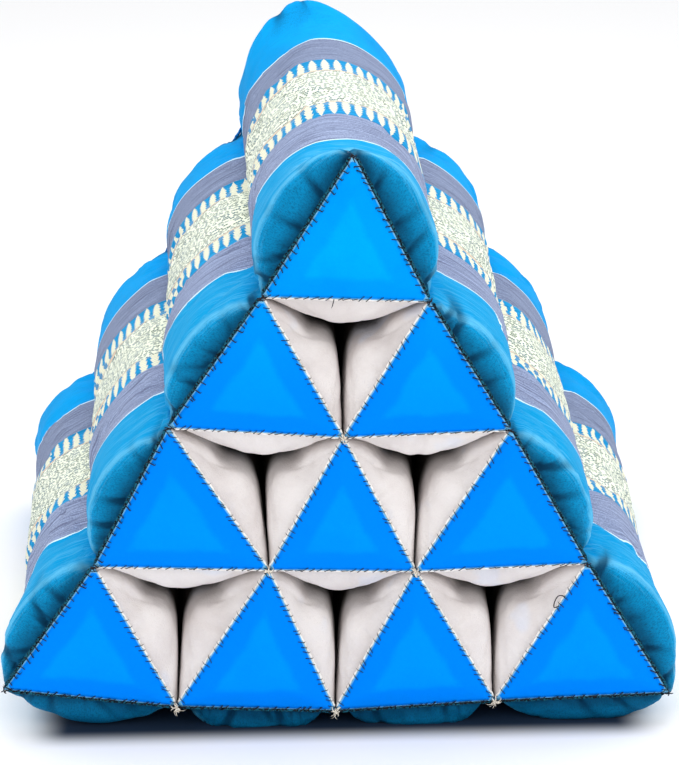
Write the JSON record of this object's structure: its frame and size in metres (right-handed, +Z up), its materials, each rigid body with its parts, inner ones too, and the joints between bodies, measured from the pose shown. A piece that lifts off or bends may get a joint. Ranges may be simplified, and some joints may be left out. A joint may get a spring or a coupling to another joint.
{
  "type": "thai triangle cushion",
  "caption": "Triangular floor cushion of stuffed cloth tubes stacked into a backrest, with striped woven cloth outside, cream cotton inside and blue triangles over the ends.",
  "frame": {"origin": "on the floor under the middle of the cushion, at the centre of its bounding box in X and Y", "axes": "+X across the stack, to the right seen from the near ends of the tubes; +Y along the tubes, away from the near ends; +Z up"},
  "size_m": [0.5104, 0.432, 0.4594],
  "materials": {
    "cream_cotton": "plain-woven cream cotton, matte, slightly slubbed",
    "striped_cloth": "hand-woven cotton in blue and grey bands with a raised ivory brocade band, matte",
    "blue_cotton": "plain blue cotton, matte, pulled flat over the stuffing"
  },
  "bodies": {
    "root": {"tube_1_1": "cream_cotton", "tube_2_1": "cream_cotton", "tube_2_2": "cream_cotton", "tube_3_1": "cream_cotton", "tube_3_2": "cream_cotton", "tube_3_3": "cream_cotton", "tube_4_1": "cream_cotton", "tube_4_2": "cream_cotton", "tube_4_3": "cream_cotton", "tube_4_4": "cream_cotton", "cover_1_1": "striped_cloth", "cover_2_1": "striped_cloth", "cover_2_2": "striped_cloth", "cover_3_1": "striped_cloth", "cover_3_3": "striped_cloth", "cover_4_1": "striped_cloth", "cover_4_2": "striped_cloth", "cover_4_3": "striped_cloth", "cover_4_4": "striped_cloth", "near_panel_1_1": "blue_cotton", "near_panel_2_1": "blue_cotton", "near_panel_2_2": "blue_cotton", "near_panel_3_1": "blue_cotton", "near_panel_3_2": "blue_cotton", "near_panel_3_3": "blue_cotton", "near_panel_4_1": "blue_cotton", "near_panel_4_2": "blue_cotton", "near_panel_4_3": "blue_cotton", "near_panel_4_4": "blue_cotton", "far_panel_1_1": "blue_cotton", "far_panel_2_1": "blue_cotton", "far_panel_2_2": "blue_cotton", "far_panel_3_1": "blue_cotton", "far_panel_3_2": "blue_cotton", "far_panel_3_3": "blue_cotton", "far_panel_4_1": "blue_cotton", "far_panel_4_2": "blue_cotton", "far_panel_4_3": "blue_cotton", "far_panel_4_4": "blue_cotton"}
  },
  "joints": []
}
